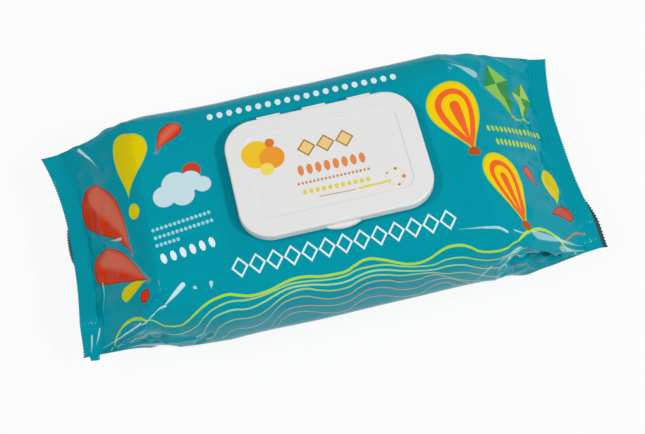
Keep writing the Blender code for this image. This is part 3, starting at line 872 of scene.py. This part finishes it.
# The flap hangs from the seal's corner, narrows to its end and waves a little
FLAP_FROM = 0.0012
FLAP_TO = 0.0070
FLAP_AROUND = -0.0475
FLAP_LENGTH = 0.0052
corner = film_point(LEFT, 1.0, np.array([[FLAP_FROM], [FLAP_TO]]), np.array([[FLAP_AROUND]]))
flap_along = np.linspace(0.0, 1.0, EDGE_STEPS)[:, None]
flap_down = np.linspace(0.0, 1.0, EDGE_STEPS)[None, :]
flap_share = 0.5 + (flap_along - 0.5) * (1 - 0.25 * flap_down)
flap = corner[0] + (corner[1] - corner[0]) * flap_share[..., None]
flap[..., 1] -= FLAP_LENGTH * flap_down
flap[..., 2] -= 0.0006 + 0.0012 * flap_down + 0.0004 * np.sin(flap_along * 5)
flap_u = flap_along[:, 0] * (FLAP_TO - FLAP_FROM) - 0.142
flap_v = flap_down[0] * FLAP_LENGTH - 0.060
corner_flap = grid_piece("left_corner_flap", flap, flap_u, flap_v)
corner_flap.data.materials.append(film_look)
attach(corner_flap, "pack")


# Closure frame and peel-off label
# The frame is white polypropylene, glued on the film. The label below it closes the slit until first use.
# Both keep their modelled shape, and get their finish here.

# Moulded polypropylene: a half matt skin with the fine grain of the mould
closure_look = bpy.data.materials.new("white_moulded_polypropylene")
tree = empty_tree(closure_look)
shader = add_node(tree, "BsdfPrincipled", {
    "Base Color": linear("#E4E4E2"),
    "Roughness": 0.42,
    "Normal": fine_bump(tree, 2200.0, 0.15, 0.00005),
})
add_node(tree, "OutputMaterial", {"Surface": shader})
# Label film: smooth and a little glossier than the frame
label_look = bpy.data.materials.new("white_label_film")
tree = empty_tree(label_look)
shader = add_node(tree, "BsdfPrincipled", {
    "Base Color": linear("#EDEEF0"),
    "Roughness": 0.30,
    "Normal": fine_bump(tree, 300.0, 0.2, 0.0002),
})
add_node(tree, "OutputMaterial", {"Surface": shader})
for name, look in (("lid_frame", closure_look), ("seal_label", label_look)):
    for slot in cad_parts[name].material_slots:
        slot.material = look


# Flip lid
# A shallow cap moulded in white polypropylene, with a sunk panel on top and a rib inside to grip the rim.
# Three knuckles at its back edge carry the living hinge, and a thumb tab stands out at its front.

LID_HALF_X = 0.048
LID_HALF_Y = 0.0323
LID_CORNER = 0.0156
LID_LOW = 0.0618
LID_TOP = 0.0666
LID_CEILING = 0.0654
LID_WALL = 0.0012
LID_FILLET = 0.0011
PANEL_INSET = 0.0095
PANEL_SLOPE = 0.0005
PANEL_DEPTH = 0.0004
RIB_OUT = 0.0105
RIB_THICK = 0.0010
RIB_DEPTH = 0.0026


def largest_face(bm, up):
    """The largest face that looks up or down."""
    facing = [face for face in bm.faces if face.normal.z * up > 0.99]
    return max(facing, key=lambda face: face.calc_area())


def push(bm, face, distance):
    """Extrudes a face along Z and returns the moved face."""
    made = bmesh.ops.extrude_face_region(bm, geom=[face])["geom"]
    moved = [item for item in made if isinstance(item, bmesh.types.BMVert)]
    bmesh.ops.translate(bm, verts=moved, vec=(0.0, 0.0, distance))
    if face.is_valid:
        bmesh.ops.delete(bm, geom=[face], context="FACES_ONLY")
    return next(item for item in made if isinstance(item, bmesh.types.BMFace))


def block(low, high):
    """A box between two corners."""
    bm = bmesh.new()
    bmesh.ops.create_cube(bm, size=1.0)
    low, high = Vector(low), Vector(high)
    bmesh.ops.scale(bm, verts=bm.verts, vec=high - low)
    bmesh.ops.translate(bm, verts=bm.verts, vec=(low + high) / 2)
    return bm


def finished(bm, name, look, sharp=35.0):
    """The piece of a bmesh, smooth between its sharp edges."""
    bmesh.ops.recalc_face_normals(bm, faces=bm.faces)
    mesh = bpy.data.meshes.new(name)
    bm.to_mesh(mesh)
    bm.free()
    mesh.shade_smooth()
    mesh.set_sharp_from_angle(angle=math.radians(sharp))
    mesh.materials.append(look)
    made = bpy.data.objects.new(name, mesh)
    bpy.context.collection.objects.link(made)
    steady = made.modifiers.new("flat_faces_stay_flat", "WEIGHTED_NORMAL")
    steady.keep_sharp = True
    return made


def round_off(bm, edges, radius, segments):
    """Rounds edges off with a true arc."""
    bmesh.ops.bevel(bm, geom=edges, offset=radius, segments=segments, profile=0.5, affect="EDGES",
                    material=-1)


bm = block((-LID_HALF_X, -LID_HALF_Y, LID_LOW), (LID_HALF_X, LID_HALF_Y, LID_TOP))
upright = [edge for edge in bm.edges if abs(edge.verts[0].co.z - edge.verts[1].co.z) > 0.001]
round_off(bm, upright, LID_CORNER, 20)
bm.normal_update()
top = largest_face(bm, 1)
round_off(bm, list(top.edges), LID_FILLET, 6)
bm.normal_update()
top = largest_face(bm, 1)
bmesh.ops.inset_region(bm, faces=[top], thickness=PANEL_INSET - LID_FILLET)
bmesh.ops.inset_region(bm, faces=[top], thickness=PANEL_SLOPE, depth=-PANEL_DEPTH)
bm.normal_update()
inside = largest_face(bm, -1)
bmesh.ops.inset_region(bm, faces=[inside], thickness=LID_WALL)
inside = push(bm, inside, LID_CEILING - LID_LOW)
bm.normal_update()
bmesh.ops.inset_region(bm, faces=[inside], thickness=RIB_OUT - LID_WALL)
ceiling = push(bm, inside, -RIB_DEPTH)
bm.normal_update()
bmesh.ops.inset_region(bm, faces=[ceiling], thickness=RIB_THICK)
push(bm, ceiling, RIB_DEPTH)
# The moulded knuckles of the hinge show behind the lid's back edge
KNUCKLES = (-0.023, 0.0, 0.023)
KNUCKLE_WIDTH = 0.012
KNUCKLE_DEPTH = 0.0020
KNUCKLE_HEIGHT = 0.0036
KNUCKLE_ROUND = 0.00035
HINGE_Y = 0.0337
for middle in KNUCKLES:
    knuckle = bmesh.ops.create_cube(bm, size=1.0)["verts"]
    bmesh.ops.scale(bm, verts=knuckle, vec=(KNUCKLE_WIDTH, KNUCKLE_DEPTH, KNUCKLE_HEIGHT))
    place = (middle, HINGE_Y - KNUCKLE_DEPTH / 2, LID_LOW + KNUCKLE_HEIGHT / 2)
    bmesh.ops.translate(bm, verts=knuckle, vec=place)
    edges = list({edge for vert in knuckle for edge in vert.link_edges})
    round_off(bm, edges, KNUCKLE_ROUND, 3)
# The thumb tab is a round bar half sunk in the wall, drawn out to a smooth bump
TAB_HALF_WIDTH = 0.009
TAB_REACH = 0.0023
TAB_THICKNESS = 0.0014
tab = bmesh.ops.create_cone(bm, cap_ends=True, segments=64, radius1=1.0, radius2=0.96, depth=1.0)["verts"]
bmesh.ops.scale(bm, verts=tab, vec=(TAB_HALF_WIDTH, TAB_REACH * 2, TAB_THICKNESS))
for vert in tab:
    bump_share = abs(vert.co.x) / TAB_HALF_WIDTH
    vert.co.y *= 0.5 * max(0.0, 1 - bump_share**2) ** 0.4
bmesh.ops.translate(bm, verts=tab, vec=(0.0, -LID_HALF_Y + 0.0001, LID_LOW + TAB_THICKNESS / 2))
bmesh.ops.translate(bm, verts=bm.verts, vec=(CLOSURE_X, 0.0, 0.0))

# White polypropylene with the mould's fine grain, half matt, and a pad print in flat inks on its top.
# Places are in millimetres from the lid's middle.
PRINT_ABOVE = LID_TOP - 0.0007
LID_WHITE = "#E9E8E6"
lid_look = bpy.data.materials.new("pad_printed_white_polypropylene")
tree = empty_tree(lid_look)
place = add_node(tree, "TexCoord").outputs["Object"]
flat = add_node(tree, "Mapping", {
    "Vector": place, "Scale": (1000.0, 1000.0, 0.0), "Location": (-CLOSURE_X * 1000, 0.0, 0.0)})
height = add_node(tree, "SeparateXYZ", {0: place}).outputs["Z"]
on_top = maths(tree, "GREATER_THAN", height, PRINT_ABOVE)
colour = LID_WHITE
LID_SHAPES = (
    (oval(tree, flat, -33.0, 12.6, 7.6, 7.6), "#F5C518"),
    (oval(tree, flat, -26.0, 9.4, 6.2, 6.2), "#F09A22"),
    (oval(tree, flat, -29.6, 3.6, 3.4, 3.4), "#F7DC5A"),
    (oval(tree, flat, -25.6, 17.6, 2.4, 2.4), "#E2761F"),
    (row(tree, flat, (-8.6, 10.6), (10.6, 11.0), 3, 4.7, 5.0, diamonds=True), "#A87B34"),
    (row(tree, flat, (-8.6, 10.6), (10.6, 11.0), 3, 3.7, 3.9, diamonds=True), "#F2CE86"),
    (row(tree, flat, (-14.0, -1.2), (16.5, -1.6), 8, 1.5, 2.9), "#E98A47"),
    (row(tree, flat, (-16.5, -8.2), (18.0, -8.4), 19, 0.62, 0.8), "#CF8F6C"),
    (row(tree, flat, (-14.5, -13.2), (16.5, -13.8), 11, 1.05, 1.35), "#E6D24C"),
    (bar(tree, flat, 0.8, -17.4, 8.8, 0.32, -2.0), "#D9A48C"),
    (bar(tree, flat, 19.0, -17.3, 8.2, 0.6, 1.0), "#E6D35A"),
    (ring(tree, oval(tree, flat, 29.5, -15.6, 4.6, 4.6), 0.2), "#E9D98C"),
    (oval(tree, flat, 33.6, -16.4, 1.0, 1.0), "#D8893C"),
    (oval(tree, flat, 30.6, -11.4, 0.8, 0.8), "#B9854A"),
    (oval(tree, flat, 30.4, -20.2, 0.7, 0.7), "#B9854A"),
    (oval(tree, flat, 26.0, -12.8, 0.6, 0.6), "#C99A5C"),
)
for distance, ink in LID_SHAPES:
    mask = maths(tree, "MULTIPLY", inside_of(tree, distance), on_top)
    colour = coloured(tree, colour, mask, ink)
shader = add_node(tree, "BsdfPrincipled", {
    "Base Color": colour,
    "Roughness": 0.42,
    "Normal": fine_bump(tree, 2200.0, 0.15, 0.00005),
})
add_node(tree, "OutputMaterial", {"Surface": shader})
flip_lid = finished(bm, "flip_lid_cap", lid_look)
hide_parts("flip_lid")
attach(flip_lid, "lid")


# Living hinge
# Three thin webs of the closure's own polypropylene, moulded between the frame and the lid's knuckles.

# The web's middle line from the frame to the knuckle: Y, Z
WEB_PATH = ((0.03120, 0.06110), (0.03260, 0.06108), (0.03360, 0.06116), (0.03395, 0.06140),
            (0.03402, 0.06165), (0.03395, 0.06190), (0.03360, 0.06214), (0.03290, 0.06222))
WEB_THICKNESS = 0.00028
WEB_INSET = 0.0008
for number, middle in enumerate(KNUCKLES, 1):
    bm = bmesh.new()
    low_x = CLOSURE_X + middle - KNUCKLE_WIDTH / 2 + WEB_INSET
    high_x = CLOSURE_X + middle + KNUCKLE_WIDTH / 2 - WEB_INSET
    spine = [bm.verts.new((low_x, y, z)) for y, z in WEB_PATH]
    edges = [bm.edges.new(pair) for pair in zip(spine, spine[1:])]
    swept = bmesh.ops.extrude_edge_only(bm, edges=edges)["geom"]
    moved = [item for item in swept if isinstance(item, bmesh.types.BMVert)]
    bmesh.ops.translate(bm, verts=moved, vec=(high_x - low_x, 0.0, 0.0))
    bmesh.ops.subdivide_edges(bm, edges=list(bm.edges), cuts=2, use_grid_fill=True)
    bmesh.ops.recalc_face_normals(bm, faces=bm.faces)
    bmesh.ops.solidify(bm, geom=list(bm.faces), thickness=WEB_THICKNESS)
    web = finished(bm, f"hinge_web_{number}", closure_look, 50.0)
    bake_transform(web)

bpy.context.view_layer.update()
